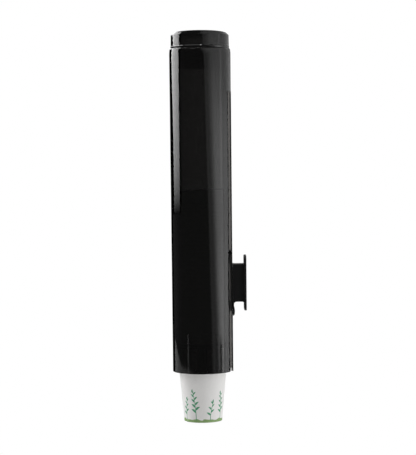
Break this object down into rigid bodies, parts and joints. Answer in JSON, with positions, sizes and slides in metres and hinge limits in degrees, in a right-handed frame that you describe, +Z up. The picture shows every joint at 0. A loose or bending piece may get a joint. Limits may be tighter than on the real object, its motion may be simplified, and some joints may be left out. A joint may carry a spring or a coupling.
{
  "type": "wall paper cup dispenser",
  "caption": "Wall-mounted pull-type dispenser for paper cups: tinted tube on a bracket, lift-off lid, nested cups inside, sprung throat and one cup hanging out below.",
  "frame": {"origin": "centre of the bracket's wall face", "axes": "+Z up along the tube, +Y into the wall, +X to the right of someone facing the wall"},
  "size_m": [0.0914, 0.1121, 0.584],
  "materials": {
    "smoke_plastic": "moulded smoke-tinted clear plastic, polished, almost black",
    "black_plastic": "moulded black plastic, satin to gloss",
    "collar_plastic": "moulded black plastic, satin",
    "cup_paper": "white coated paperboard, matt outside"
  },
  "bodies": {
    "bracket": {"wall_bracket": "black_plastic"},
    "brake_tongue": {"brake_tongue": "black_plastic"},
    "tube": {"dispenser_tube": "smoke_plastic", "rail_stop": "smoke_plastic", "throat_collar": "collar_plastic"},
    "lid": {"lid": "smoke_plastic"},
    "cup_stack": {"next_cup_sleeve": "cup_paper", "next_cup_base": "cup_paper", "nested_cups": "cup_paper", "top_cup_sleeve": "cup_paper", "top_cup_base": "cup_paper"},
    "served_cup": {"served_cup_sleeve": "cup_paper", "served_cup_base": "cup_paper"},
    "finger_1": {"finger_1": "collar_plastic"},
    "finger_2": {"finger_2": "collar_plastic"},
    "finger_3": {"finger_3": "collar_plastic"},
    "finger_4": {"finger_4": "collar_plastic"},
    "finger_5": {"finger_5": "collar_plastic"},
    "finger_6": {"finger_6": "collar_plastic"}
  },
  "joints": [
    {"name": "tube_lift", "type": "slide", "parent": "bracket", "child": "tube", "axis": [0, 0, 1], "range_m": [0, 0.175]},
    {"name": "tongue_flex", "type": "hinge", "parent": "bracket", "child": "brake_tongue", "pos_m": [0, -0.0196, -0.0327], "axis": [1, 0, 0], "range_deg": [0, 8], "stiffness_Nm_per_rad": 0.15},
    {"name": "lid_lift", "type": "slide", "parent": "tube", "child": "lid", "axis": [0, 0, 1], "range_m": [0, 0.06]},
    {"name": "stack_lift", "type": "slide", "parent": "tube", "child": "cup_stack", "axis": [0, 0, 1], "range_m": [0, 0.15]},
    {"name": "cup_pull", "type": "slide", "parent": "tube", "child": "served_cup", "axis": [0, 0, -1], "range_m": [0, 0.09]},
    {"name": "finger_1_flex", "type": "hinge", "parent": "tube", "child": "finger_1", "pos_m": [0.0405, -0.0664, -0.0958], "axis": [0, -1, 0], "range_deg": [0, 3], "stiffness_Nm_per_rad": 0.5},
    {"name": "finger_2_flex", "type": "hinge", "parent": "tube", "child": "finger_2", "pos_m": [0.02025, -0.03133, -0.0958], "axis": [0.866, -0.5, 0], "range_deg": [0, 3], "stiffness_Nm_per_rad": 0.5},
    {"name": "finger_3_flex", "type": "hinge", "parent": "tube", "child": "finger_3", "pos_m": [-0.02025, -0.03133, -0.0958], "axis": [0.866, 0.5, 0], "range_deg": [0, 3], "stiffness_Nm_per_rad": 0.5},
    {"name": "finger_4_flex", "type": "hinge", "parent": "tube", "child": "finger_4", "pos_m": [-0.0405, -0.0664, -0.0958], "axis": [0, 1, 0], "range_deg": [0, 3], "stiffness_Nm_per_rad": 0.5},
    {"name": "finger_5_flex", "type": "hinge", "parent": "tube", "child": "finger_5", "pos_m": [-0.02025, -0.10147, -0.0958], "axis": [-0.866, 0.5, 0], "range_deg": [0, 3], "stiffness_Nm_per_rad": 0.5},
    {"name": "finger_6_flex", "type": "hinge", "parent": "tube", "child": "finger_6", "pos_m": [0.02025, -0.10147, -0.0958], "axis": [-0.866, -0.5, 0], "range_deg": [0, 3], "stiffness_Nm_per_rad": 0.5}
  ],
  "couplings": [
    {"joint": "finger_2_flex", "follows": "finger_1_flex", "ratio": 1},
    {"joint": "finger_3_flex", "follows": "finger_1_flex", "ratio": 1},
    {"joint": "finger_4_flex", "follows": "finger_1_flex", "ratio": 1},
    {"joint": "finger_5_flex", "follows": "finger_1_flex", "ratio": 1},
    {"joint": "finger_6_flex", "follows": "finger_1_flex", "ratio": 1}
  ]
}
